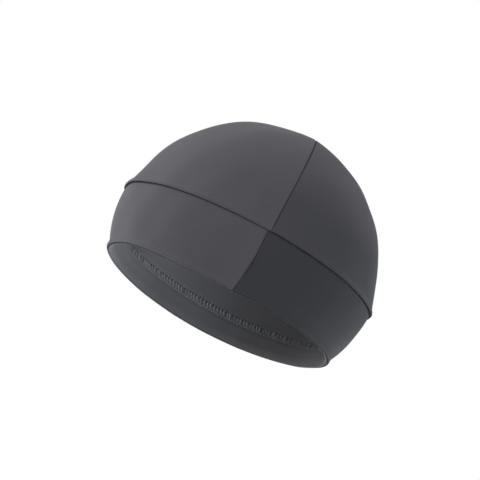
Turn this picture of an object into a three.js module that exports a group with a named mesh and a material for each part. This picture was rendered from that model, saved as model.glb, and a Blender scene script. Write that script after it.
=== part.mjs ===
// A skull cap of stretch jersey, filled out to the shape that it has when worn.
// Millimetres, +Z up, front at -Y, wearer's left at +X. The origin is the middle of the head
// opening, at the height of the hem's lowest fold at the back.
//
// Two crown halves meet in one seam that runs from the forehead over the top to the nape.
// Under them a single strip makes the band, joined at the centre front, and its lower edge is
// turned up inside as the hem.
import * as THREE from "three";

// Cloth
const clothThickness = 1.4;
const seamGap = 0.3; // free width left where two pieces are sewn edge to edge
const ply = clothThickness + seamGap; // from the outside of one layer to the next layer in

// Head opening, measured to the outside of the fold
const rimHalfWidth = 75;
const rimHalfDepth = 93;
const rimRise = 2.8; // the fold is this much higher over the ears
const rimDip = 2.0; // and dips this much where the front seam crosses it
const rimDipReach = 9;
const rimSag = 1.8; // it also sags this much over the wearer's right brow
const sagMiddle = -34;
const sagReach = 22;

// Seam between band and crown
const seamHeight = 38.5;
const seamRise = 1.0; // higher over the ears
const crownOverhang = 1.0; // the crown's edge stands this far out past the band

// Crown, as the outside of the cloth
const crownHalfWidth = 80.2;
const crownHalfDepth = 94.7;
const crownHeight = 78.8; // from the seam to the top
const crownFlare = 3.2; // extra half width where the crown spreads out to its seam
const flareShare = 0.26; // over this share of the crown's height
const sideRoundness = 1.95; // exponents of the crown's outline: 2 is a plain ellipse
const frontRoundness = 2.06;
const backRoundness = 2.3;
const seamLean = 2.6; // the top of the centre seam stands this far to +X
const leanReach = 32;

// Ridge that the centre seam makes in the cloth
const keelFront = 1.9;
const keelTop = 0.9;
const keelBack = 0.7;
const keelReach = 11;

// Hem
const hemHeight = 18.5;

// Side of the band, from the fold up: share of its height, and share of the way in from the
// crown seam's outline to the rim's
const bandRows = [
  { up: 0.0, taper: 1.0 },
  { up: 0.1, taper: 0.98 },
  { up: 0.22, taper: 0.73 },
  { up: 0.4, taper: 0.41 },
  { up: 0.65, taper: 0.13 },
  { up: 0.85, taper: 0.02 },
  { up: 1.0, taper: 0.0 },
];

// Fineness of the facets
const crownColumns = 32; // front to back, on each half
const crownRows = 20;
const ringColumns = 72;
const bandSteps = 9;
const hemSteps = 3;
const foldSteps = 3;
const halvings = 24; // in the search for a row's taper

const frontAngle = -Math.PI / 2;
const wholeTurn = 2 * Math.PI;

const lerp = THREE.MathUtils.lerp;
const lineUp = new THREE.SplineCurve(bandRows.map((row) => new THREE.Vector2(row.taper, row.up)));

// Falls from 1 on the centre seam to 0 away from it, within the given reach
function nearSeam(x, reach) {
  return Math.exp(-Math.abs(x) / reach);
}

// Share of an outline's half width that is left at a share of its height
function roundOff(height, roundness) {
  return Math.max(0, 1 - height ** roundness) ** (1 / roundness);
}

// Keeps each side of the centre seam half a gap away from it
function clearOfSeam(x, side) {
  return side * Math.max(side * x, seamGap / 2);
}

// A point of the crown. angle goes round the head, height from 0 at the seam to 1 at the top,
// inset is the depth under the cloth's outside, side is -1 or +1 for the half that it is on.
function crownPoint(angle, height, inset, side) {
  const front = Math.sin(angle) < 0;
  const flare = crownFlare * Math.max(0, 1 - height / flareShare) ** 2;
  const halfWidth = (crownHalfWidth - inset) * roundOff(height, sideRoundness) + flare;
  const roundness = front ? frontRoundness : backRoundness;
  const halfDepth = (crownHalfDepth - inset) * roundOff(height, roundness) + flare;
  const x = halfWidth * Math.cos(angle);
  const keel = lerp(front ? keelFront : keelBack, keelTop, height) * nearSeam(x, keelReach);
  const outward = new THREE.Vector2(Math.sin(angle) * (1 - height), height).normalize();
  const y = halfDepth * Math.sin(angle) + keel * outward.x * Math.abs(Math.sin(angle));
  const rise = seamRise * Math.cos(angle) ** 2 * (1 - height);
  const z = seamHeight + rise + (crownHeight - inset) * height + keel * outward.y * height;
  const lean = seamLean * height ** 2 * Math.max(0, 1 - Math.abs(x) / leanReach) ** 2;
  return new THREE.Vector3(clearOfSeam(x, side) + lean, y, z);
}

// A point of the band or hem. up goes from 0 at the fold to 1 at the crown seam.
function bandPoint(angle, up, taper, inset, side) {
  const halfWidth = lerp(crownHalfWidth + crownFlare - crownOverhang, rimHalfWidth, taper) - inset;
  const halfDepth = lerp(crownHalfDepth + crownFlare - crownOverhang, rimHalfDepth, taper) - inset;
  const x = halfWidth * Math.cos(angle);
  const front = Math.sin(angle) < 0;
  const keel = front ? keelFront * nearSeam(x, keelReach) : 0;
  const y = halfDepth * Math.sin(angle) - keel;
  const overEars = Math.cos(angle) ** 2;
  const sag = rimSag * Math.exp(-(((x - sagMiddle) / sagReach) ** 2));
  const dip = rimDip * nearSeam(x, rimDipReach);
  const low = rimRise * overEars - (front ? dip + sag : 0);
  const high = seamHeight - seamGap + seamRise * overEars;
  return new THREE.Vector3(side ? clearOfSeam(x, side) : x, y, lerp(low, high, up));
}

// Closed body from two grids of points, an outer and an inner skin with the same rows and
// columns, joined round their border. Points that fall together are merged, and triangles
// that lose a side by that are left out.
function bodyFromSkins(outer, inner) {
  const positions = [];
  const index = [];
  const seen = new Map();
  const idOf = (point) => {
    const key = point.toArray().map((value) => value.toFixed(4)).join(" ");
    if (!seen.has(key)) {
      seen.set(key, positions.length / 3);
      positions.push(...point.toArray());
    }
    return seen.get(key);
  };
  const triangle = (a, b, c) => {
    if (a !== b && b !== c && c !== a) index.push(a, b, c);
  };
  const quad = (a, b, c, d) => {
    triangle(a, b, c);
    triangle(a, c, d);
  };
  const out = outer.map((row) => row.map(idOf));
  const inn = inner.map((row) => row.map(idOf));
  const lastRow = out.length - 1;
  const lastColumn = out[0].length - 1;
  for (let r = 0; r < lastRow; r++) {
    for (let c = 0; c < lastColumn; c++) {
      quad(out[r][c], out[r][c + 1], out[r + 1][c + 1], out[r + 1][c]);
      quad(inn[r][c], inn[r + 1][c], inn[r + 1][c + 1], inn[r][c + 1]);
    }
    quad(out[r][0], out[r + 1][0], inn[r + 1][0], inn[r][0]);
    quad(out[r][lastColumn], inn[r][lastColumn], inn[r + 1][lastColumn], out[r + 1][lastColumn]);
  }
  for (let c = 0; c < lastColumn; c++) {
    quad(out[0][c], inn[0][c], inn[0][c + 1], out[0][c + 1]);
    quad(out[lastRow][c], out[lastRow][c + 1], inn[lastRow][c + 1], inn[lastRow][c]);
  }
  const geometry = new THREE.BufferGeometry();
  geometry.setAttribute("position", new THREE.Float32BufferAttribute(positions, 3));
  geometry.setIndex(index);
  geometry.computeVertexNormals();
  return geometry;
}

// One half of the crown: columns run from the front seam to the back one, rows from the band
// seam to the top. The +X half turns one way round the head and the -X half the other.
function crownHalf(side) {
  const skin = (inset) => {
    const rows = [];
    for (let r = 0; r <= crownRows; r++) {
      const height = r === crownRows ? 1 : Math.sin((r / crownRows) * (Math.PI / 2));
      const row = [];
      for (let c = 0; c <= crownColumns; c++) {
        const share = side > 0 ? c / crownColumns : 1 - c / crownColumns;
        const angle = frontAngle + side * share * Math.PI;
        row.push(crownPoint(angle, height, inset, side));
      }
      rows.push(row);
    }
    return rows;
  };
  return bodyFromSkins(skin(0), skin(clothThickness));
}

// A strip bent right round the head with its two ends at the front seam. section gives the
// rows of one skin, each with up, taper and inset.
function strip(outerSection, innerSection) {
  const skin = (section) =>
    section.map((row) => {
      const points = [];
      for (let c = 0; c <= ringColumns; c++) {
        const angle = frontAngle + (c / ringColumns) * wholeTurn;
        const side = c === 0 ? 1 : c === ringColumns ? -1 : 0;
        points.push(bandPoint(angle, row.up, row.taper, row.inset, side));
      }
      return points;
    });
  return bodyFromSkins(skin(outerSection), skin(innerSection));
}

// Rows of the band's outline between two shares of its height
function outlineRows(low, high, steps, inset) {
  const rows = [];
  for (let i = 0; i <= steps; i++) {
    const up = lerp(low, high, i / steps);
    rows.push({ up, taper: taperAt(up), inset });
  }
  return rows;
}

// The band outline's taper at a share of its height, found along the spline by halving
function taperAt(up) {
  let low = 0;
  let high = 1;
  for (let i = 0; i < halvings; i++) {
    const middle = (low + high) / 2;
    if (lineUp.getPoint(middle).y < up) low = middle;
    else high = middle;
  }
  return lineUp.getPoint((low + high) / 2).x;
}

// Round lower edge: rows of a quarter circle as deep as the cloth, from its underside up to
// the wall that it turns into. wallInset is the depth of that wall, and turn is +1 where the
// wall is on the edge's outer side and -1 where it is on its inner side.
function foldRows(wallInset, turn) {
  const rows = [];
  for (let i = 0; i < foldSteps; i++) {
    const angle = (i / foldSteps) * (Math.PI / 2);
    const up = (clothThickness * (1 - Math.sin(angle))) / seamHeight;
    const inset = wallInset + turn * clothThickness * (1 - Math.cos(angle));
    rows.unshift({ up, taper: taperAt(up), inset });
  }
  return rows;
}

const foldTop = clothThickness / seamHeight;
const hemTop = hemHeight / seamHeight;

// Band: the outer skin ends in the rounded fold, the inner skin goes straight down
const foldCount = foldSteps - 1;
const bandOuter = [...foldRows(0, 1).slice(0, foldCount), ...outlineRows(foldTop, 1, bandSteps, 0)];
const bandInner = outlineRows(0, 1, bandSteps + foldCount, clothThickness);

// Hem: lies one ply further in, and rounds on its inner side
const hemOuter = outlineRows(0, hemTop, hemSteps + foldCount, ply);
const hemInnerInset = ply + clothThickness;
const hemInner = [
  ...foldRows(hemInnerInset, -1).slice(0, foldCount),
  ...outlineRows(foldTop, hemTop, hemSteps, hemInnerInset),
];

// Dark grey stretch jersey, matt outside and paler on the wrong side
const jerseyGrey = { color: 0x4b4a50, roughness: 0.88, metalness: 0.0 };
const hemGrey = { color: 0x6e6d72, roughness: 0.9, metalness: 0.0 };

const cap = new THREE.Group();

function addPiece(name, geometry, cloth) {
  const mesh = new THREE.Mesh(geometry, new THREE.MeshStandardMaterial(cloth));
  mesh.name = name;
  cap.add(mesh);
}

addPiece("crown_left_half", crownHalf(1), jerseyGrey);
addPiece("crown_right_half", crownHalf(-1), jerseyGrey);
addPiece("band", strip(bandOuter, bandInner), jerseyGrey);
addPiece("hem", strip(hemOuter, hemInner), hemGrey);

export default cap;
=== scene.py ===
# %% [markdown]
# A skull cap of stretch jersey, filled out as it is when worn. It is sewn from two crown
# halves and one long band, and the band's lower edge is turned up inside as a hem. Each piece
# of cloth could be a subdivided cage, but a cap is smooth and its outline is known, so here
# every piece is worked out row by row from a few sizes, as a thin closed skin of cloth that
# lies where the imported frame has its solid.

# %% The frame
import math

import bpy
import bmesh
import numpy as np
from mathutils import Matrix, Vector


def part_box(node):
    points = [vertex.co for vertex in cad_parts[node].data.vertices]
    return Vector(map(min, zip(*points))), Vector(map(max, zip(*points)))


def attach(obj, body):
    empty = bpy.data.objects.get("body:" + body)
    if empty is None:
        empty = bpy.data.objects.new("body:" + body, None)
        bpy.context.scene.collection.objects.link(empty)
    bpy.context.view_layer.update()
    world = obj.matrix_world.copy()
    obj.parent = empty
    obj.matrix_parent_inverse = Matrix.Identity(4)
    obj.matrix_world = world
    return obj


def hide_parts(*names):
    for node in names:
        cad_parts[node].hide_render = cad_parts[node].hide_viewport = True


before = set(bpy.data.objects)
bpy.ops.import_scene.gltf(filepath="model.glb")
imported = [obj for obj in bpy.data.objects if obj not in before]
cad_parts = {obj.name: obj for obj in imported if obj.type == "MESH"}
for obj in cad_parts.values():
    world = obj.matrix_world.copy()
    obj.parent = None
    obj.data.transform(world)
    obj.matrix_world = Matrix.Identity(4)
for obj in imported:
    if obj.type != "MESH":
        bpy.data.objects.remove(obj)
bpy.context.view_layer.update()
print("frame nodes:", sorted(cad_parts))

# %% [markdown]
# The cap's main sizes come from the frame's boxes, so the looks follow the solids. Only what a
# box can't tell is written here: the cloth's thickness, how round the crown is, how far the
# centre seam stands up as a ridge, and how the rim and the hem run. All lengths are in metres,
# with the front at -Y and the wearer's left at +X.

# %% Sizes of the crown
cloth = 0.0014  # thickness of one layer
seam_gap = 0.0003  # free width between two solids at a seam
seam_touch = 0.00002  # half of what is left of it between the finer skins

crown_flare = 0.0032  # extra half width where the crown spreads out to its seam
flare_share = 0.26  # over this share of the crown's height
side_roundness = 1.95  # exponents of the crown's outline: 2 is a plain ellipse
front_roundness = 2.06
back_roundness = 2.3
seam_lean = 0.0026  # the top of the centre seam stands this far to the wearer's left
lean_reach = 0.032
keel_front = 0.0019  # height of the ridge that the centre seam makes in the cloth
keel_top = 0.0009
keel_back = 0.0007
keel_reach = 0.011

crown_low, crown_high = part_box("crown_left_half")
seam_height = crown_low.z
crown_height = crown_high.z - seam_height - keel_top
crown_half_width = crown_high.x - crown_flare
crown_half_depth = crown_high.y - keel_back - crown_flare
print("band seam at", round(seam_height, 4), "crown height", round(crown_height, 4),
      "crown half width", round(crown_half_width, 4), "half depth", round(crown_half_depth, 4))

# %% Sizes of the band and the hem
crown_overhang = 0.0010  # the crown's edge stands this far out past the band
seam_rise = 0.0010  # the seam between them is this much higher over the ears
rim_half_width = 0.075  # head opening, to the outside of the fold
rim_half_depth = 0.093
rim_rise = 0.0028  # the fold is this much higher over the ears
rim_dip = 0.0020  # and dips this much where the front seam crosses it
rim_dip_reach = 0.009
rim_sag = 0.0018  # it also sags this much over the wearer's right brow
sag_middle = -0.034
sag_reach = 0.022
hem_height = 0.0184

# Side of the band, from the fold up: share of its height, and share of the way in from the
# crown seam's outline to the rim's
band_up = [0.0, 0.1, 0.22, 0.4, 0.65, 0.85, 1.0]
band_taper = [1.0, 0.98, 0.73, 0.41, 0.13, 0.02, 0.0]
print("the band pulls in", round((crown_half_width + crown_flare - rim_half_width) * 1000, 1),
      "mm at each side")

# %% [markdown]
# The photograph is taken from a little under the cap with a long lens, and the cap hangs
# tilted in it. Rolling the camera keeps the cap itself upright in its own frame. The lens and
# the roll come from fitting the cap's seams to the picture, and the aim is moved off the
# cap's middle by a few pixels so that it sits in the frame where the photograph has it.

# %% Camera
photo_width = 480
camera_distance = 2.0
camera_azimuth = math.radians(-3.75)
camera_elevation = math.radians(-11.08)
camera_roll = math.radians(28.67)
focal_pixels = 3319.5
cap_middle = Vector((0, 0, 0.060))
cap_middle_pixel = (262.0, 224.0)

back = Vector((
    math.sin(camera_azimuth) * math.cos(camera_elevation),
    -math.cos(camera_azimuth) * math.cos(camera_elevation),
    math.sin(camera_elevation),
))
level = Vector((math.cos(camera_azimuth), math.sin(camera_azimuth), 0))
upright = back.cross(level)
picture_right = level * math.cos(camera_roll) + upright * math.sin(camera_roll)
picture_up = upright * math.cos(camera_roll) - level * math.sin(camera_roll)
metres_per_pixel = camera_distance / focal_pixels
aim = cap_middle - picture_right * (cap_middle_pixel[0] - photo_width / 2) * metres_per_pixel
aim = aim + picture_up * (cap_middle_pixel[1] - photo_width / 2) * metres_per_pixel

camera_data = bpy.data.cameras.new("camera")
camera_data.sensor_width = 36.0
camera_data.lens = camera_data.sensor_width * focal_pixels / photo_width
camera_data.clip_end = 100
camera = bpy.data.objects.new("camera", camera_data)
bpy.context.scene.collection.objects.link(camera)
place = aim + back * camera_distance
camera.matrix_world = Matrix((
    (picture_right.x, picture_up.x, back.x, place.x),
    (picture_right.y, picture_up.y, back.y, place.y),
    (picture_right.z, picture_up.z, back.z, place.z),
    (0, 0, 0, 1),
))
bpy.context.scene.camera = camera
bpy.context.scene.view_settings.view_transform = "Standard"
print("lens", round(camera_data.lens, 1), "mm, camera height", round(place.z, 3))

# %% [markdown]
# Shaders are easier to read as arithmetic than as boxes and wires. A small class wraps one
# output socket and overloads the operators, so that an expression such as 1 - mask adds its
# own Math nodes. Any other kind of node comes from one method.

# %% Shader arithmetic
class Value:
    def __init__(self, tree, socket):
        self.tree = tree
        self.socket = socket

    def math(self, operation, *others):
        return self.tree.node("ShaderNodeMath", {"operation": operation}, [self, *others])

    def __add__(self, other):
        return self.math("ADD", other)

    def __mul__(self, other):
        return self.math("MULTIPLY", other)

    def __sub__(self, other):
        return self.math("SUBTRACT", other)

    def __rsub__(self, other):
        return (self * -1) + other

    def __pow__(self, other):
        return self.math("POWER", other)

    __radd__ = __add__
    __rmul__ = __mul__


class Shader:
    """The node tree of a material or of the world, emptied and built again."""

    def __init__(self, owner):
        owner.use_nodes = True
        self.owner = owner
        self.tree = owner.node_tree
        self.tree.nodes.clear()

    def link(self, value, socket):
        if isinstance(value, Value):
            self.tree.links.new(value.socket, socket)
        else:
            socket.default_value = value

    def node(self, kind, settings=None, sockets=(), output=0):
        made = self.tree.nodes.new(kind)
        for setting, value in (settings or {}).items():
            setattr(made, setting, value)
        pairs = sockets.items() if isinstance(sockets, dict) else enumerate(sockets)
        for key, value in pairs:
            self.link(value, made.inputs[key])
        return Value(self, made.outputs[output])

    def colour_between(self, share, low, high):
        """A Mix node for colours: its sockets 6 and 7 and its output 2 are the colour ones."""
        return self.node("ShaderNodeMix", {"data_type": "RGBA"},
                         {0: share, 6: (*low, 1), 7: (*high, 1)}, 2)

    def show(self, surface, output="ShaderNodeOutputMaterial"):
        self.link(surface, self.tree.nodes.new(output).inputs["Surface"])
        print(self.owner.name, "has", len(self.tree.nodes), "nodes")
        return self.owner


# %% [markdown]
# Jersey is weft knitted: columns of small V-shaped stitches, called wales, on the right side,
# and rows of rounder loops on the wrong side. The height of the stitches is worked out from
# the cloth's own coordinates, which every piece of cloth below carries as a UV map in metres,
# so a stitch has its real size everywhere. It feeds a Bump node and a little of the colour: at
# arm's length the stitches melt into a matt surface with a soft sheen.
#
# Each mesh also carries a second layer, a single number called shade, and the colour is
# multiplied by it. It holds painted shade and painted light: darker and lighter stretches
# where light falls differently, dark seam lines, and the clear step in tone between the two
# sides of the front seam.
#
# Cloth that is pressed into the band's seam or under the fold has a finish of its own without
# sheen. Sheen is strongest at a grazing angle, and would light up the bottom of the seam.

# %% Jersey
wale = 0.00078  # width of a column of stitches
course = 0.00056  # height of a row of stitches
fibre_scale = 2600.0
cloud_scale = 45.0
streaks_across = 1100.0
streaks_along = 60.0
darkest_tone = 0.78
lightest_tone = 1.20


def jersey(name, colour, stitch_depth, leg_slope, sheen):
    m = Shader(bpy.data.materials.new(name))
    uv = m.node("ShaderNodeUVMap", {"uv_map": "cloth"})
    across = m.node("ShaderNodeSeparateXYZ", None, [uv], 0)
    along = m.node("ShaderNodeSeparateXYZ", None, [uv], 1)
    shade = m.node("ShaderNodeAttribute", {"attribute_name": "shade"}, (), "Fac")
    leg = (((across * (1 / wale)).math("FRACT") - 0.5) * 2).math("ABSOLUTE")
    stitch = ((along * (1 / course) + leg * leg_slope) * (2 * math.pi)).math("SINE") * 0.5 + 0.5
    knit = (1 - leg ** 2) * (stitch * 0.5 + 0.5)
    fibre = m.node("ShaderNodeTexNoise", None,
                   {"Vector": uv, "Scale": fibre_scale, "Detail": 3.0})
    cloudy = m.node("ShaderNodeTexNoise", None,
                    {"Vector": uv, "Scale": cloud_scale, "Detail": 2.0})
    stretched = m.node("ShaderNodeCombineXYZ", None,
                       [across * streaks_across, along * streaks_along, 0.0])
    streak = m.node("ShaderNodeTexNoise", None,
                    {"Vector": stretched, "Scale": 1.0, "Detail": 1.0})
    bump = m.node("ShaderNodeBump", None, {
        "Height": knit * 0.75 + fibre * 0.5, "Strength": 1.0, "Distance": stitch_depth})
    texture = knit * 0.4 + fibre * 0.6 + cloudy * 0.5 + streak * 0.4
    tone = texture * 0.55  # brings the four weights together to about 1
    plain = m.colour_between(tone, [c * darkest_tone for c in colour],
                             [c * lightest_tone for c in colour])
    # Painted shade and painted light: the shade layer scales the colour.
    shaded = m.node("ShaderNodeVectorMath", {"operation": "SCALE"}, {0: plain, "Scale": shade})
    return m.show(m.node("ShaderNodeBsdfPrincipled", None, {
        "Base Color": shaded, "Roughness": 0.80 + fibre * 0.14, "Normal": bump,
        "Specular IOR Level": 0.25, "Sheen Weight": sheen, "Sheen Roughness": 0.6,
        "Sheen Tint": (0.95, 0.94, 1.0, 1.0),
    }))


outside_grey = (0.071, 0.069, 0.076)
# Partly the wrong side's own lighter tone, partly painted light that lifts the inside out of its
# shade.
inside_grey_and_painted_light = (0.178, 0.174, 0.184)
right_side = jersey("cloth_outside", outside_grey,
                    stitch_depth=0.00010, leg_slope=0.6, sheen=0.35)
wrong_side = jersey("cloth_inside", inside_grey_and_painted_light,
                    stitch_depth=0.00009, leg_slope=0.15, sheen=0.35)
pressed_cloth = jersey("cloth_pressed_edge", outside_grey,
                       stitch_depth=0.00006, leg_slope=0.6, sheen=0.0)

# %% [markdown]
# Overlock thread is soft textured polyester. It is a tone lighter than the jersey, and a
# little fuzz shows on it close up.

# %% Thread
fuzz_scale = 3500.0
fuzz_depth = 0.00008
fuzz_light = 1.35


def thread_finish(name, colour):
    m = Shader(bpy.data.materials.new(name))
    spot = m.node("ShaderNodeTexCoord", None, (), "Object")
    fuzz = m.node("ShaderNodeTexNoise", None, {"Vector": spot, "Scale": fuzz_scale})
    bump = m.node("ShaderNodeBump", None,
                  {"Height": fuzz, "Strength": 1.0, "Distance": fuzz_depth})
    return m.show(m.node("ShaderNodeBsdfPrincipled", None, {
        "Base Color": m.colour_between(fuzz, colour, [c * fuzz_light for c in colour]),
        "Roughness": 0.62, "Normal": bump, "Sheen Weight": 0.4, "Sheen Roughness": 0.4,
    }))


thread = thread_finish("overlock_thread", (0.340, 0.345, 0.355))

# %% [markdown]
# Every piece of cloth is a sheet with two skins, so one helper makes them all: it takes two
# grids of points, an outer and an inner one, and closes them round their border. The point's
# own place in the cloth becomes the UV map. Points that coincide, such as those at the top of
# the crown, are merged afterwards, which also removes faces without area.

# %% Mesh from arrays
weld_distance = 0.000002
sharp_angle = math.radians(50)


def add_piece(name, points, faces, materials, material_index=None, layers=None):
    """A mesh object from arrays, with its UV map and shade, that rides with the cap."""
    mesh = bpy.data.meshes.new(name)
    mesh.from_pydata(points.tolist(), [], faces.tolist())
    for material in materials:
        mesh.materials.append(material)
    if layers:
        mesh.polygons.foreach_set("material_index", material_index)
        corner_point = np.empty(len(mesh.loops), np.int32)
        mesh.loops.foreach_get("vertex_index", corner_point)
        uv = mesh.uv_layers.new(name="cloth")
        uv.data.foreach_set("uv", layers["cloth"][corner_point].astype(np.float32).ravel())
        shade = mesh.attributes.new("shade", "FLOAT", "POINT")
        shade.data.foreach_set("value", layers["shade"].astype(np.float32))
        merged = bmesh.new()
        merged.from_mesh(mesh)
        bmesh.ops.remove_doubles(merged, verts=merged.verts, dist=weld_distance)
        merged.to_mesh(mesh)
        merged.free()
    mesh.shade_smooth()
    mesh.set_sharp_from_angle(angle=sharp_angle)
    piece = bpy.data.objects.new(name, mesh)
    bpy.context.scene.collection.objects.link(piece)
    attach(piece, "root")
    print(name, "has", len(mesh.polygons), "faces")
    return piece


# %% Two skins make a piece
def grid_faces(rows, columns, start, flip):
    corner = np.arange(rows * columns).reshape(rows, columns) + start
    quads = np.stack([corner[:-1, :-1], corner[:-1, 1:], corner[1:, 1:], corner[1:, :-1]], -1)
    quads = quads.reshape(-1, 4)
    return quads[:, ::-1] if flip else quads


def border(rows, columns):
    corner = np.arange(rows * columns).reshape(rows, columns)
    return np.concatenate([corner[0, :-1], corner[:-1, -1], corner[-1, :0:-1], corner[:0:-1, 0]])


def two_skins(name, outer, inner, cloth_place, shades, skin_materials, pressed=None):
    """Outer and inner skin, joined. pressed marks faces of the outer one, for material 2."""
    rows, columns, _ = outer.shape
    count = rows * columns
    edge = border(rows, columns)
    after = np.roll(edge, -1)
    wall = np.stack([after, edge, edge + count, after + count], -1)
    faces = np.concatenate([
        grid_faces(rows, columns, 0, False), grid_faces(rows, columns, count, True), wall])
    skin = (rows - 1) * (columns - 1)
    which = np.zeros(len(faces), np.int32)
    which[skin:2 * skin] = 1
    if pressed is not None:
        which[:skin][pressed.ravel()] = 2
    layers = {
        "cloth": np.concatenate([cloth_place.reshape(-1, 2)] * 2),
        "shade": np.concatenate([np.broadcast_to(s, (rows, columns)).ravel() for s in shades]),
    }
    points = np.concatenate([outer.reshape(-1, 3), inner.reshape(-1, 3)])
    return add_piece(name, points, faces, skin_materials, which, layers)


# %% [markdown]
# The forms below are built from a few simple curves: a soft step, a bell, a ridge that falls
# off to both sides, and a rounded edge. They are all written for whole arrays of points, so a
# piece is worked out at one go and not point by point.

# %% Simple curves
def lerp(start, end, share):
    return start + (end - start) * share


def eased(share):
    share = np.clip(share, 0.0, 1.0)
    return share * share * (3 - 2 * share)


def rising(value, start, width):
    """0 up to the start and 1 from one width on, with a soft step between."""
    return eased((value - start) / width)


def bell(distance, reach):
    return np.exp(-(distance / reach) ** 2)


def near_seam(x, reach):
    return np.exp(-np.abs(x) / reach)


def round_off(height, roundness):
    return np.maximum(0.0, 1 - height ** roundness) ** (1 / roundness)


def turned_edge(distance, width, depth):
    """How deep a sewn edge has rolled in, at a distance from the seam."""
    share = np.clip(1 - distance / width, 0.0, 1.0)
    return depth * (1 - np.sqrt(1 - share ** 2))


def pressed_edge(distance, width, depth):
    """How much thinner the cloth gets towards an edge that is pressed flat."""
    return depth * eased(1 - distance / width)


def crowded(count, crowding):
    """Shares from 0 to 1 that lie close together at both ends."""
    share = np.linspace(0, 1, count)
    return share - crowding * np.sin(2 * np.pi * share) / (2 * np.pi)


def walked(points, axis):
    """Distance walked along one axis of a grid of points."""
    steps = np.linalg.norm(np.diff(points, axis=axis), axis=-1)
    start = np.zeros_like(np.take(steps, [0], axis=axis))
    return np.concatenate([start, np.cumsum(steps, axis=axis)], axis=axis)


def unit(vectors):
    return vectors / np.linalg.norm(vectors, axis=-1, keepdims=True)


# %% [markdown]
# Worn cloth is never quite even. A noise texture could displace it, but then each piece would
# be uneven in its own way. Here a few long, low waves through space are added to the depth of
# the crown, the band and the hem alike, so they run on across the seams.

# %% Low waves in the cloth
wave_count = 14
wave_height = 0.00010
shortest_wave = 0.022
longest_wave = 0.060
waves = np.random.default_rng(7)
wave_way = unit(waves.normal(size=(wave_count, 3)))
wave_length = waves.uniform(shortest_wave, longest_wave, wave_count)
wave_start = waves.uniform(0, 2 * np.pi, wave_count)
print(wave_count, "waves of", wave_height * 1000, "mm each")


def unevenness(points):
    """Depth of the low waves in the cloth at some points."""
    total = np.zeros(points.shape[:-1])
    for way, length, start in zip(wave_way, wave_length, wave_start):
        total = total + np.sin(points @ way * 2 * np.pi / length + start)
    return total * wave_height


# %% [markdown]
# The crown's outline is an ellipse from above and a slightly pointed dome from the front, and
# it spreads out a little just above the band. Where two pieces meet, each edge turns down
# into the seam like a rolled pastry edge, and over the ears the crown bulges in a low lip just
# above the band. The roll is real depth, so it shows from every side.

# %% Form of the crown
centre_roll = 0.0010  # width of the roll at the centre seam and the front seam
edge_roll = 0.0012  # and at the seam between band and crown
roll_depth = 0.0013
lip_height = 0.0016  # above the band's seam
lip_reach = 0.0016
lip_bulge = 0.0008


def crown_spread(height):
    return crown_flare * np.maximum(0.0, 1 - height / flare_share) ** 2


def crown_across(angle, height, inset):
    """Distance from the centre seam, before its top leans over."""
    wide = (crown_half_width - inset) * round_off(height, side_roundness) + crown_spread(height)
    return wide * np.cos(angle)


def crown_shape(angle, height, inset, side):
    """A point of the crown. height runs from 0 at the band to 1 at the top, side is -1 or 1."""
    front = np.sin(angle) < 0
    x = crown_across(angle, height, inset)
    roundness = np.where(front, front_roundness, back_roundness)
    deep = (crown_half_depth - inset) * round_off(height, roundness) + crown_spread(height)
    keel = lerp(np.where(front, keel_front, keel_back), keel_top, height)
    keel = keel * near_seam(x, keel_reach)
    steep = np.sin(angle) * (1 - height)
    length = np.maximum(np.hypot(steep, height), 1e-9)
    y = deep * np.sin(angle) + keel * steep / length * np.abs(np.sin(angle))
    rise = seam_rise * np.cos(angle) ** 2 * (1 - height)
    z = seam_height + rise + (crown_height - inset) * height + keel * height / length * height
    lean = seam_lean * height ** 2 * np.maximum(0.0, 1 - np.abs(x) / lean_reach) ** 2
    return np.stack([side * np.maximum(side * x, seam_touch) + lean, y, z], -1)


def crown_point(angle, height, inset, side, rolled=False):
    """A point of the crown in uneven cloth, with or without rolled edges."""
    inset = inset + unevenness(crown_shape(angle, height, 0.0, side))
    if rolled:
        above_band = height * crown_height
        from_centre = np.abs(crown_across(angle, height, 0.0))
        inset = inset + turned_edge(from_centre, centre_roll, roll_depth)
        inset = inset + turned_edge(above_band, edge_roll, roll_depth)
        inset = inset - lip_bulge * bell(above_band - lip_height, lip_reach) * np.cos(angle) ** 2
    return crown_shape(angle, height, inset, side)


# %% [markdown]
# The fine dark line of a seam needs more than its depth, so painted shade darkens the cloth
# within about half a millimetre of the seam. The band's seam line is painted darker and wider
# on the wearer's left than on the right. The faces closest to the band's seam, and later those
# at the bottom of the fold, take the pressed cloth's finish.

# %% Painted shade in the seams
side_change = 0.010  # width over which the wearer's right side changes into the left
band_seam_change = -0.004  # where that change starts
line_dark_right = 0.26
line_dark_left = 0.03
line_core_right = 0.00006
line_core_left = 0.00030
line_edge_right = 0.00028
line_edge_left = 0.00030
pressed_reach_right = 0.00015
pressed_reach_left = 0.00030


def seam_shade(distance, darkest, core=0.00012, edge=0.00038):
    """Painted shade beside a seam: darkest on its core, and back to 1 over the line's soft edge.
    """
    return lerp(darkest, 1.0, rising(distance, core, edge))


# Painted shade of the band's seam line, darker and wider on the wearer's left.
def band_seam_shade(distance, x):
    deep = rising(x, band_seam_change, side_change)
    return seam_shade(distance, lerp(line_dark_right, line_dark_left, deep),
                      lerp(line_core_right, line_core_left, deep),
                      lerp(line_edge_right, line_edge_left, deep))


def pressed_reach(x):
    """How far the pressed cloth reaches from the band's seam."""
    return lerp(pressed_reach_right, pressed_reach_left, rising(x, band_seam_change, side_change))


def near(distance, reach):
    """Faces of a grid that have a corner within a distance."""
    close = distance < reach
    return close[:-1, :-1] | close[1:, 1:] | close[:-1, 1:] | close[1:, :-1]
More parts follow.
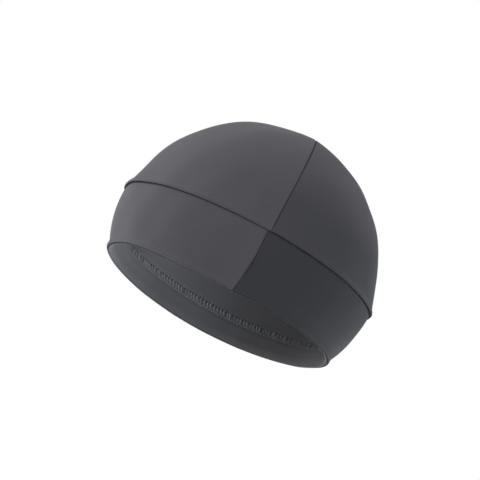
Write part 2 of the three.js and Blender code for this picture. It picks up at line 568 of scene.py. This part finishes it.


# %% [markdown]
# The two halves differ in painted shade: the one on the wearer's left is painted darker.
# Along the centre seam the other one has a little painted light, and painted shade makes the
# top a little darker than the sides.

# %% Painted shade of the crown
# Painted shade: the half on the wearer's left is darker, and so is the top; painted light beside
# the centre seam.
shade_left_half = 0.72
shade_right_half = 1.0
centre_line_dark = 0.18
centre_line_faint = 0.80  # the line is faint where it comes down to the band
faint_height = 0.10
centre_line_core = 0.00020
top_painted_shade = 0.13  # the cloth round the top is this much darker
top_start = 0.80
top_blend = 0.15
top_reach = 0.030
centre_light = 0.10  # and beside the centre seam, on the wearer's right, this much lighter
centre_light_reach = 0.018


def crown_shade(x, height, side, shade):
    darkest = lerp(centre_line_dark, centre_line_faint, eased(1 - height / faint_height))
    on_top = rising(height, top_start, top_blend) * bell(x, top_reach)
    beside_seam = bell(x, centre_light_reach) * (side < 0) * (1 - height)
    shade = shade * seam_shade(np.abs(x), darkest, centre_line_core)
    shade = shade * band_seam_shade(height * crown_height, x)
    return shade * (1 - top_painted_shade * on_top) * (1 + centre_light * beside_seam)


# %% [markdown]
# The wales of a crown half stand upright at the side of the head. So a point's place in the
# cloth is its distance round the head from the middle of the side, and its distance up from
# the band. The knit then meets the centre seam at a growing angle towards the top, as it does
# on a real crown of two pieces.
#
# The rows lie closer together towards the band, where the edge rolls in. At the very top a
# few more rows close up on the pole, because the ridge of the centre seam would end short of
# it otherwise and leave a dent.

# %% Crown halves
crown_columns = 151
crown_rows = 84
column_crowding = 0.93  # towards the centre seam, in front and at the back
row_crowding = 1.7  # towards the band
top_rows = np.array([0.013, 0.009, 0.006, 0.004, 0.0026, 0.0016, 0.0009, 0.0004])


def crown_half(name, side, node, shade):
    share = crowded(crown_columns, column_crowding)
    angle = -np.pi / 2 + side * np.pi * (share if side > 0 else 1 - share)
    up_share = np.linspace(0, 1, crown_rows) ** row_crowding
    up_share = np.concatenate([up_share[:-1], 1 - top_rows, [1.0]])
    angle, height = np.meshgrid(angle, np.sin(up_share * np.pi / 2))
    outer = crown_point(angle, height, 0.0, side, rolled=True)
    inner = crown_point(angle, height, cloth, side)
    across = walked(inner, 1)
    across = across - across[:, crown_columns // 2:crown_columns // 2 + 1]
    place = np.stack([across, walked(inner, 0)], -1)
    x = crown_across(angle, height, 0.0)
    shade = crown_shade(x, height, side, shade)
    pressed = near(height * crown_height, pressed_reach(x))
    piece = two_skins(name, outer, inner, place, [shade, shade],
                      [right_side, wrong_side, pressed_cloth], pressed)
    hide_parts(node)


crown_half("crown_left", 1, "crown_left_half", shade_left_half)
crown_half("crown_right", -1, "crown_right_half", shade_right_half)

# %% [markdown]
# The band is one strip bent right round and joined at the centre front. Its lower edge folds
# up inside, so the band's outer skin ends in a quarter of a round fold and the hem's visible
# skin carries on from there. Both are the same strip of cloth, which is why they share their
# fold line. The front seam isn't quite straight: it has been pulled a few millimetres to the
# wearer's right, most of all at the fold.

# %% Form of the strip
fold_radius = cloth + seam_gap / 2
band_high = seam_height - seam_gap / 2
drift_at_fold = -0.0031
drift_slope = 0.0059
drift_bend = -0.0046
drift_reach = 0.022


def smooth_taper(up):
    """The rows of the band's side, joined by a smooth curve through them."""
    spots = np.array(band_up)
    values = np.array(band_taper)
    slopes = np.gradient(values, spots)
    row = np.clip(np.searchsorted(spots, up, side="right") - 1, 0, len(spots) - 2)
    step = spots[row + 1] - spots[row]
    t = np.clip((up - spots[row]) / step, 0.0, 1.0)
    start = values[row] * (1 + 2 * t) * (1 - t) ** 2 + slopes[row] * step * t * (1 - t) ** 2
    end = values[row + 1] * t * t * (3 - 2 * t) - slopes[row + 1] * step * t * t * (1 - t)
    return start + end


def seam_drift(up):
    """How far the front seam has been pulled along the head, at a share of the height."""
    return drift_at_fold + drift_slope * up + drift_bend * up * up


def strip_shape(angle, up, inset):
    """A point of the band or the hem. up runs from 0 at the fold to 1 at the crown."""
    taper = smooth_taper(up)
    wide = lerp(crown_half_width + crown_flare - crown_overhang, rim_half_width, taper) - inset
    deep = lerp(crown_half_depth + crown_flare - crown_overhang, rim_half_depth, taper) - inset
    x = wide * np.cos(angle)
    front = np.sin(angle) < 0
    drifted = x + seam_drift(up) * bell(x, drift_reach)
    along_oval = np.sqrt(np.maximum(0.0, 1 - (drifted / wide) ** 2))
    y = deep * np.where(front, -along_oval, np.sin(angle))
    y = y - np.where(front, keel_front * near_seam(x, keel_reach), 0.0)
    over_ears = np.cos(angle) ** 2
    sag = rim_dip * near_seam(x, rim_dip_reach) + rim_sag * bell(x - sag_middle, sag_reach)
    low = rim_rise * over_ears - np.where(front, sag, 0.0)
    high = band_high + seam_rise * over_ears
    side = np.where(np.cos(angle) > 0, 1.0, -1.0)
    beside = drifted + side * np.maximum(seam_touch - side * x, 0.0)
    return np.stack([np.where(front, beside, x), y, lerp(low, high, up)], -1)


def strip_point(angle, up, inset):
    return strip_shape(angle, up, inset + unevenness(strip_shape(angle, up, 0.0)))


# %% [markdown]
# Band and hem have the same columns round the head. They crowd at the front seam, where the
# strip's ends roll in. Their rows start with a quarter of a circle for the fold.

# %% Columns and fold of the strip
ring_columns = 420
ring_crowding = 0.95
fold_steps = 9
lowest_row = 0.0001  # the hidden skins start just above the fold line

ring_angle = -np.pi / 2 + 2 * np.pi * crowded(ring_columns, ring_crowding)
round_share = (ring_angle + np.pi / 2) / (2 * np.pi)
round_way = walked(strip_shape(ring_angle, np.full(ring_columns, 0.5), 0.0), 0)
from_front_seam = np.minimum(round_way, round_way[-1] - round_way)
ring_x = crown_half_width * np.cos(ring_angle)
left_of_fold = rising(ring_x, -side_change / 2, side_change)
print("round the band", round(round_way[-1], 3), "m")

quarter = np.linspace(0, np.pi / 2, fold_steps)
fold_up = fold_radius * (1 - np.cos(quarter)) / seam_height
fold_inset = fold_radius * (1 - np.sin(quarter))

# %% [markdown]
# The two ends of the strip roll in at the front seam. The end on the wearer's right laps a
# little over the other, which drops away softly beside it, so the seam shows as a step with
# a soft shadow in its middle; the band's painted shade deepens that shadow.

# %% Front seam
loose_height = 0.45  # the front seam is less tight round here
loose_reach = 0.20
loose_roll = 0.6  # by this share its rolls open there
step_depth = 0.0008
step_reach = 0.0035
step_back = 0.4  # the lapping end rises by this share of the step
step_clear = 0.0010
dark_end = round_way < round_way[-1] / 2  # the strip's end on the wearer's left


def loose_middle(up):
    """The front seam is less tight in its middle, where one end lies over the other."""
    return bell(up - loose_height, loose_reach)[:, None]


def front_roll(up):
    """Depth of the strip's two rolled ends, for rows at the given shares of its height."""
    loose = loose_middle(up)
    sharp = turned_edge(from_front_seam, centre_roll, roll_depth) * (1 - loose_roll * loose)
    soft = step_depth * near_seam(from_front_seam, step_reach) * loose
    return sharp + np.where(dark_end, soft, -step_back * soft * (from_front_seam > step_clear))


# %% [markdown]
# Just above the fold the turned-up layer fills the band out into a low bead, which is higher
# on the wearer's right. The cloth under the fold takes the pressed cloth's finish and painted
# shade, which is darker on the left.

# %% Fold of the band
bead_bulge = 0.0006
bead_share_left = 0.4
bead_height = 0.0020
bead_reach = 0.0014
# Painted shade along the fold, by side and beside the front seam.
fold_shade_right = 1.0
fold_shade_left = 0.62
fold_shade_front = 0.22  # and this much darker at the front seam
fold_front_reach = 0.009
fold_blend = 0.0010
pressed_fold = 0.00045

fold_bead = bead_bulge * lerp(1.0, bead_share_left, left_of_fold)


def bead(up):
    return fold_bead * bell(up * seam_height - bead_height, bead_reach)[:, None]


def fold_shade(up):
    """Painted shade where the cloth folds, mostly on the wearer's left."""
    darkest = lerp(fold_shade_right, fold_shade_left, left_of_fold)
    darkest = darkest * (1 - fold_shade_front * near_seam(ring_x, fold_front_reach))
    return lerp(darkest, 1.0, rising(up * seam_height, 0.0, fold_blend)[:, None])


# %% [markdown]
# The band's rows crowd towards the crown, where its edge rolls in. Round the head, painted
# shade takes the strip from the darker end to the lighter one, mostly over the back.

# %% Rows of the band
wall_rows = 52
wall_crowding = 1.8

wall_share = 1 - (1 - np.linspace(0, 1, wall_rows)[1:]) ** wall_crowding
band_rows = np.concatenate([fold_up, lerp(fold_up[-1], 1.0, wall_share)])
band_depth = np.concatenate([fold_inset, np.zeros(len(wall_share))])
band_depth = band_depth + turned_edge((1 - band_rows) * seam_height, edge_roll, roll_depth)
band_outer = strip_point(ring_angle, band_rows[:, None],
                         band_depth[:, None] - bead(band_rows) + front_roll(band_rows))
band_inner = strip_point(ring_angle, np.maximum(band_rows, lowest_row)[:, None], cloth)
band_place = np.stack(np.broadcast_arrays(round_way, band_rows[:, None] * seam_height), -1)
print("the band has", len(band_rows), "rows of", ring_columns, "points")

# %% Painted shade and light of the band's outside
# Painted shade and light: the ends' tones, the front seam's line, a painted shadow in its loose
# middle, painted light beside it.
shade_dark_end = 0.53
shade_light_end = 1.02
front_line_dark = 0.22
front_line_loose = 0.80
hollow_dark = 0.14  # the dark end beside the seam's loose middle
hollow_reach = 0.0030
front_light = 0.09  # the light end beside the front seam
front_light_reach = 0.018

turn_share = eased(round_share)
loose = loose_middle(band_rows)
from_fold = np.broadcast_to(band_rows[:, None] * seam_height, (len(band_rows), ring_columns))
from_top = (1 - band_rows)[:, None] * seam_height
painted_hollow_shadow = hollow_dark * loose * bell(from_front_seam, hollow_reach)
beside_seam = front_light * bell(from_front_seam, front_light_reach)
band_shade = lerp(shade_dark_end, shade_light_end, turn_share)
band_shade = band_shade * seam_shade(from_front_seam,
                                     lerp(front_line_dark, front_line_loose, loose))
band_shade = band_shade * np.where(dark_end, 1 - painted_hollow_shadow, 1 + beside_seam)
band_shade = band_shade * band_seam_shade(from_top, ring_x) * fold_shade(band_rows)
print("band's shade from", round(band_shade.min(), 2), "to", round(band_shade.max(), 2))

# %% [markdown]
# On the wrong side painted light and shade change round the head as well: the shade rises
# just past the middle of the back, falls again from there to the wearer's right, and painted
# light lightens a narrow strip just above the hem's edge.

# %% Band
# Painted light and shade on the band's inside.
inside_base = 0.98
inside_light = 0.45
inside_light_start = 0.49  # as a share of the way round from the front seam over the left
inside_light_width = 0.12
inside_dark = 0.36
inside_dark_start = 0.59
inside_dark_width = 0.05
hem_edge_light = 0.45
hem_edge_height = hem_height + 0.0006
hem_edge_reach = 0.0014

inside_shade = (inside_base
                + inside_light * rising(round_share, inside_light_start, inside_light_width)
                - inside_dark * rising(round_share, inside_dark_start, inside_dark_width))
inside_shade = inside_shade * (
    1 + hem_edge_light * bell(from_fold - hem_edge_height, hem_edge_reach))
pressed = near(from_fold, pressed_fold) | near(seam_height - from_fold, pressed_reach(ring_x))
band = two_skins("band_cloth", band_outer, band_inner, band_place, [band_shade, inside_shade],
                 [right_side, wrong_side, pressed_cloth], pressed)
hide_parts("band")

# %% [markdown]
# The hem lies against the inside of the band. Turned up, it shows the outer face of the cloth
# again, but it is given the same pale finish as the inside of the band above it, which paints
# light into it. Its free edge was overlocked before it was turned up, which rounds and thins
# the cloth there. Its painted shade is dark at the fold and under the thread, and painted
# light makes it lighter on the wearer's right, as on the strip's outside.

# %% Rows of the hem
hem_wall_rows = 29
hem_inset = 2 * cloth + seam_gap
hem_roll = (0.0008, 0.0001)  # width and depth
hem_press = (0.0070, 0.0012)
hem_end_roll = (0.0008, 0.0007)

hem_share = hem_height / seam_height
hem_rows = np.concatenate([fold_up, np.linspace(fold_up[-1], hem_share, hem_wall_rows + 1)[1:]])
hem_depth = np.concatenate([2 * fold_radius - fold_inset, np.full(hem_wall_rows, hem_inset)])
below_edge = (hem_share - hem_rows) * seam_height
hem_depth = hem_depth - turned_edge(below_edge, *hem_roll) - pressed_edge(below_edge, *hem_press)
hem_inner = strip_point(ring_angle, hem_rows[:, None],
                        hem_depth[:, None] - turned_edge(from_front_seam, *hem_end_roll))
hem_outer = strip_point(ring_angle, np.maximum(hem_rows, lowest_row)[:, None],
                        cloth + seam_gap)
hem_place = np.stack(np.broadcast_arrays(round_way, -hem_rows[:, None] * seam_height), -1)
print("the hem has", len(hem_rows), "rows of", ring_columns, "points")

# %% Painted shade and light of the hem
# Painted shade under the thread and at the fold; painted light towards the wearer's right.
stitch_shadow = 0.22
stitch_shadow_width = 0.0036
fold_dark = 0.22
fold_dark_right = 0.65  # at the right tip of the opening
right_tip = 0.74
right_tip_reach = 0.06
fold_line_core = 0.0002
fold_line_edge = 0.0010
low_dark = 0.20  # the hem's lower part, up to the wearer's right
low_dark_width = 0.0036
right_start = 0.53
right_width = 0.17
right_light = 0.30
right_edge_light = 0.35  # more towards the free edge
right_edge_width = 0.13
front_start = 0.80  # from here on the light part fades towards the front seam
front_width = 0.18
front_fade = 0.8
hem_dark_end = 0.86
hem_light_end = 1.27

above_fold = hem_rows[:, None] * seam_height
at_tip = bell(round_share - right_tip, right_tip_reach)
to_front = rising(round_share, front_start, front_width)
to_right = rising(round_share, right_start, right_width) * (1 - front_fade * to_front)
edge_right = rising(round_share, right_start, right_edge_width) * (1 - to_front)
under_thread = eased(1 - below_edge / stitch_shadow_width)[:, None]
hem_shade = lerp(lerp(fold_dark, fold_dark_right, at_tip), 1.0,
                 rising(above_fold, fold_line_core, fold_line_edge))
hem_shade = hem_shade * (1 - low_dark * (1 - to_right) * (1 - eased(above_fold / low_dark_width)))
hem_shade = hem_shade * (1 + right_light * to_right)
hem_shade = hem_shade * (1 - stitch_shadow * under_thread)
hem_shade = hem_shade * lerp(hem_dark_end, hem_light_end, turn_share)
hem_shade = hem_shade * (1 + right_edge_light * (hem_rows / hem_share)[:, None] * edge_right)
print("hem's shade from", round(hem_shade.min(), 2), "to", round(hem_shade.max(), 2))

# %% Hem
# The hem's visible face takes the pale inside finish, which paints light into it.
hem = two_skins("hem_cloth", hem_outer, hem_inner, hem_place, [hem_shade, hem_shade],
                [wrong_side, wrong_side])
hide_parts("hem")

# %% [markdown]
# Inside the cap the raw edges of each seam stand about six millimetres past the stitching,
# two layers thick, and lie over to one side: along the centre seam, up from the band's seam,
# and beside the front seam. Nothing of them is seen from the front, but they are what one
# sees on turning the cap over, and they cover the centre seam and the front seam from
# inside. They are short strips with the same two skins.

# %% Cross-section of a seam allowance
allowance = 0.0060
allowance_thickness = 0.0019
allowance_roll = (0.0014, 0.0008)  # width and depth
lie_gap = 0.0001
section_points = 9
past_seam = -0.0006  # the strips of two seams start on the other side of the seam
# Painted shade in the crease at the foot of each strip, beside the seam.
crease_dark = 0.45
crease_width = 0.0016

from_seam = np.linspace(0, 1, section_points)
aside = lerp(past_seam, allowance, from_seam)
depth = allowance_thickness - turned_edge((1 - from_seam) * allowance, *allowance_roll)
crease_shade = lerp(crease_dark, 1.0, rising(from_seam * allowance, 0.0, crease_width))
lie_inset = cloth + lie_gap
top_inset = lie_inset + allowance_thickness
print("seam allowances reach", round((aside[-1] - aside[0]) * 1000, 1), "mm across")


def lay_strip(name, outer, inner, shade):
    place = np.stack([walked(outer, 0), walked(outer, 1)], -1)
    piece = two_skins(name, outer, inner, place, [shade, shade], [wrong_side, wrong_side])


# %% Allowance of the centre seam
centre_points = 90
centre_start = 0.055  # it starts this far up, above the band's allowance
side_curve = 0.075  # radius of the crown across the seam

centre_rows = np.sin(np.linspace(centre_start, 1, centre_points) * np.pi / 2)
front_line = crown_point(np.full(centre_points, -np.pi / 2), centre_rows, lie_inset, -1)
back_line = crown_point(np.full(centre_points, np.pi / 2), centre_rows, lie_inset, -1)[::-1]
centre_line = np.concatenate([front_line, back_line[1:]])
keel_along = np.concatenate([lerp(keel_front, keel_top, centre_rows),
                             lerp(keel_back, keel_top, centre_rows)[::-1][1:]])
along = np.gradient(centre_line, axis=0)
out_of_cap = unit(np.stack([np.zeros(len(along)), -along[:, 2], along[:, 1]], -1))
to_the_right = np.array([-1.0, 0.0, 0.0])
drop = aside ** 2 / (2 * side_curve) + keel_along[:, None] * (1 - near_seam(aside, keel_reach))
centre_outer = (centre_line[:, None, :] + aside[None, :, None] * to_the_right
                - drop[:, :, None] * out_of_cap[:, None, :])
centre_inner = centre_outer - depth[None, :, None] * out_of_cap[:, None, :]
lay_strip("centre_seam_allowance", centre_inner, centre_outer, crease_shade)

# %% Allowances of the band's seam and the front seam
front_start_share = hem_share + 0.02
front_end_share = 0.99
front_points = 24

ring_side = np.where(np.cos(ring_angle) > 0, 1.0, -1.0)
ring_heights = from_seam[:, None] * allowance / crown_height
ring_outer = crown_shape(ring_angle, ring_heights, lie_inset, ring_side)
ring_inner = crown_shape(ring_angle, ring_heights, lie_inset + depth[:, None], ring_side)
lay_strip("band_seam_allowance", ring_outer, ring_inner, crease_shade[:, None])

front_angles = -np.pi / 2 + aside / crown_half_width
front_heights = np.linspace(front_start_share, front_end_share, front_points)[:, None]
front_outer = strip_point(front_angles, front_heights, lie_inset)
front_inner = strip_point(front_angles, front_heights, lie_inset + depth)
lay_strip("front_seam_allowance", front_outer, front_inner, crease_shade)

# %% [markdown]
# An overlock machine trims the raw edge and wraps it in looped thread. Seen from the face,
# each stitch is one slanted leg that climbs from the needle line to the edge, a small knot on
# the edge, and a leg back. A second thread lies along the needle line in short arcs. The
# thread could be a curve with a bevel, but here it is tubes made from arrays, because then
# its thickness can change along a stitch and all stitches of an edge are one mesh.

# %% Tube
tube_sides = 6


def tube(path, off_cloth, radius):
    """Points and faces of a tube along a path; off_cloth keeps its sides from twisting."""
    way = unit(np.gradient(path, axis=0))
    side = unit(np.cross(way, off_cloth))
    up = np.cross(side, way)
    turn = np.arange(tube_sides) * 2 * np.pi / tube_sides
    ring = side[:, None] * np.cos(turn)[:, None] + up[:, None] * np.sin(turn)[:, None]
    points = path[:, None] + ring * radius[:, None, None]
    here = np.arange(len(path) * tube_sides).reshape(len(path), tube_sides)
    after = np.roll(here, -1, axis=1)
    faces = np.stack([here[:-1], after[:-1], after[1:], here[1:]], -1).reshape(-1, 4)
    return points.reshape(-1, 3), faces


# %% [markdown]
# One stitch is described by beats in time: how far along the edge it has come, how far down
# from the edge, how high off the cloth in radii of the thread, and how thick the thread is.
# No two stitches are quite alike, so each takes small random changes.

# %% Shape of a stitch
stitch_pitch = 0.00236
stitch_width = 0.0038
thread_radius = 0.00030
beats = [0.0, 0.10, 0.24, 0.36, 0.46, 0.52, 0.58, 0.68, 0.80, 0.92, 1.0]
spot_beat = [0.0, 0.14, 0.32, 0.46, 0.54, 0.58, 0.62, 0.68, 0.80, 0.93, 1.0]
down_beat = [1.0, 0.84, 0.50, 0.22, 0.0, -0.08, -0.04, 0.22, 0.58, 0.90, 1.0]
lift_beat = [-0.6, -0.2, 1.0, 2.0, 2.2, 1.4, 0.4, -0.2, -0.5, -0.7, -0.6]
thick_beat = [0.8, 0.8, 1.0, 1.4, 1.5, 1.4, 1.0, 0.8, 0.8, 0.8, 0.8]
uneven_spot = 0.20
uneven_width = 0.11
uneven_lift = 0.35
uneven_thickness = 0.20
loop_samples = 16  # points in a stitch
dash_samples = 8  # points in an arc of the needle thread
dash_low = -1.9  # its arcs dive into the cloth between stitches
dash_rise = 1.6
dash_down = 1.03


def looped_thread(count, length):
    """Spot along the edge, distance from it, lift and thickness of the looped thread."""
    share = np.arange(count * loop_samples + 1) / loop_samples
    within = share % 1.0
    stitch = np.floor(share).astype(int)
    uneven = waves.normal(size=(3, count + 1))[:, stitch]
    spot = (stitch + np.interp(within, beats, spot_beat)) / count * length
    spot = spot + uneven[0] * uneven_spot * np.sin(within * np.pi) * stitch_pitch
    down = np.interp(within, beats, down_beat) * stitch_width * (1 + uneven_width * uneven[1])
    lift = np.interp(within, beats, lift_beat) * thread_radius * (1 + uneven_lift * uneven[2])
    thick = np.interp(within, beats, thick_beat) * thread_radius
    return spot, down, lift, thick * (1 + uneven_thickness * uneven[0])


def needle_thread(count, length):
    """The same four for the thread that lies along the needle line."""
    dash = np.arange(count * dash_samples + 1)
    lift = (dash_low + dash_rise * np.abs(np.sin(dash / dash_samples * np.pi))) * thread_radius
    down = np.full(len(dash), stitch_width * dash_down)
    return dash / (count * dash_samples) * length, down, lift, np.full(len(dash), thread_radius)


# %% [markdown]
# The stitches follow any edge that is given as a line of points with two directions at each
# point: towards the needle line and off the cloth. So the same function serves the hem and
# the allowances. Where the cloth's edge is rounded or pressed thin, the thread goes down with
# it.

# %% Overlock stitches
follow_roll = 0.4  # the thread bridges part of the roll
no_press = (1.0, 0.0)


def overlock(name, edge, to_needle, off_cloth, roll, press=no_press):
    way = walked(edge, 0)
    count = int(round(way[-1] / stitch_pitch))
    points = []
    faces = []
    start = 0
    for thread_line in (looped_thread, needle_thread):
        spot, down, lift, thick = thread_line(count, way[-1])
        place, needle_way, off_way = [
            np.stack([np.interp(spot, way, part[:, i]) for i in range(3)], -1)
            for part in (edge, to_needle, off_cloth)]
        lift = lift - follow_roll * turned_edge(np.maximum(down, 0), *roll)
        lift = lift - pressed_edge(down, *press)
        path = place + needle_way * down[:, None] + off_way * lift[:, None]
        tube_points, tube_faces = tube(path, off_way, thick)
        points.append(tube_points)
        faces.append(tube_faces + start)
        start += len(tube_points)
    piece = add_piece(name, np.concatenate(points), np.concatenate(faces), [thread])
    print(name, "has", count, "stitches")


# %% Overlock on the hem and along the crown
edge_points = 1500
edge_start = 0.002  # share of the way round that is left free at each end
probe_depth = 0.001  # only gives the direction off the cloth

even_share = np.linspace(edge_start, 1 - edge_start, edge_points)
even_angle = -np.pi / 2 + even_share * 2 * np.pi
needle_share = hem_share - stitch_width / seam_height
edge = strip_point(even_angle, np.full(edge_points, hem_share), hem_inset)
needle = strip_point(even_angle, np.full(edge_points, needle_share), hem_inset)
deeper = strip_point(even_angle, np.full(edge_points, hem_share), hem_inset + probe_depth)
overlock("hem_overlock", edge, unit(needle - edge), unit(deeper - edge), hem_roll, hem_press)

into_cap = -out_of_cap
free_edge = centre_outer[:, -1] + allowance_thickness * into_cap
overlock("centre_seam_overlock", free_edge, np.broadcast_to(-to_the_right, free_edge.shape),
         into_cap, allowance_roll)

# %% Overlock on the front seam and the band's seam
front_edge_points = 60

free_edge = strip_point(np.full(front_edge_points, front_angles[-1]),
                        np.linspace(front_start_share, front_end_share, front_edge_points),
                        top_inset)
overlock("front_seam_overlock", free_edge, np.broadcast_to(to_the_right, free_edge.shape),
         np.broadcast_to([0.0, 1.0, 0.0], free_edge.shape), allowance_roll)

even_side = np.where(np.cos(even_angle) > 0, 1.0, -1.0)
allowance_top = np.full(edge_points, allowance / crown_height)
ring_edge = crown_shape(even_angle, allowance_top, top_inset, even_side)
ring_needle = crown_shape(even_angle, np.zeros(edge_points), top_inset, even_side)
into_cap = np.stack([-np.cos(even_angle), -np.sin(even_angle), 0 * even_angle], -1)
overlock("band_seam_overlock", ring_edge, unit(ring_needle - ring_edge), into_cap,
         allowance_roll)

# %% [markdown]
# The form is drawn by soft boxes of one size, placed here by how far they stand round from
# the camera and above its line of sight. One stands overhead, two high on the left, one low
# on the right in front, which reaches into the opening, and four behind the cap: high and
# level on the left, level and low in the middle. Their slight tints follow the photograph's.

# %% Soft boxes
box_distance = 1.5
box_size = 0.9


def soft_box(name, turn, lift, power, colour=(1.0, 1.0, 1.0)):
    turn = math.radians(turn)
    lift = math.radians(lift)
    level_way = back * math.cos(turn) + picture_right * math.sin(turn)
    way = level_way * math.cos(lift) + picture_up * math.sin(lift)
    light = bpy.data.lights.new(name, "AREA")
    light.shape = "SQUARE"
    light.size = box_size
    light.energy = power
    light.color = colour
    lamp = bpy.data.objects.new(name, light)
    bpy.context.scene.collection.objects.link(lamp)
    lamp.location = cap_middle + way * box_distance
    lamp.rotation_mode = "QUATERNION"
    lamp.rotation_quaternion = (-way).to_track_quat("-Z", "Y")
    lamp.visible_camera = False
    print(name, power, "W")


soft_box("overhead", 0, 88, 5.5, (1.0, 0.93, 0.93))
soft_box("front_high_left", -30, 40, 6.6, (0.84, 0.93, 1.0))
soft_box("high_left", -60, 40, 4.4, (1.0, 0.88, 0.90))
soft_box("high_behind_left", -120, 40, 3.2, (0.92, 1.0, 0.98))
soft_box("behind_left", -120, 0, 2.9)
soft_box("low_right", 30, -40, 5.6, (0.88, 0.94, 1.0))
soft_box("behind", 180, 0, 3.0)
soft_box("low_behind", 180, -40, 3.0)

# %% [markdown]
# The world is white where the camera looks at it, as in a picture taken on a white
# background, but it lights the cloth only dimly. The floor is a wide sheet of pale paper. It
# lies four metres down, because the cap is held up in the air and is looked at from below as
# well. It glows a little, as fill light from below.

# %% World and floor
white = (1.0, 1.0, 1.0, 1.0)
ambient_strength = 0.14
floor_depth = 4.0
floor_reach = 60.0

world = bpy.data.worlds.new("white_background")
bpy.context.scene.world = world
w = Shader(world)
seen_by_camera = w.node("ShaderNodeLightPath")
backdrop = w.node("ShaderNodeBackground", None, {"Color": white, "Strength": 1.0})
ambient = w.node("ShaderNodeBackground", None, {"Color": white, "Strength": ambient_strength})
w.show(w.node("ShaderNodeMixShader", None, [seen_by_camera, ambient, backdrop]),
       "ShaderNodeOutputWorld")

floor_mesh = bpy.data.meshes.new("floor")
floor_mesh.from_pydata([(x * floor_reach, y * floor_reach, -floor_depth)
                        for x, y in ((-1, -1), (1, -1), (1, 1), (-1, 1))], [], [(0, 1, 2, 3)])
floor = bpy.data.objects.new("floor", floor_mesh)
bpy.context.scene.collection.objects.link(floor)
paper = Shader(bpy.data.materials.new("floor_paper"))
floor_mesh.materials.append(paper.show(paper.node("ShaderNodeBsdfPrincipled", None, {
    "Base Color": (0.8, 0.8, 0.8, 1), "Roughness": 0.9,
    "Emission Color": (0.93, 0.97, 1.0, 1.0), "Emission Strength": 0.32})))
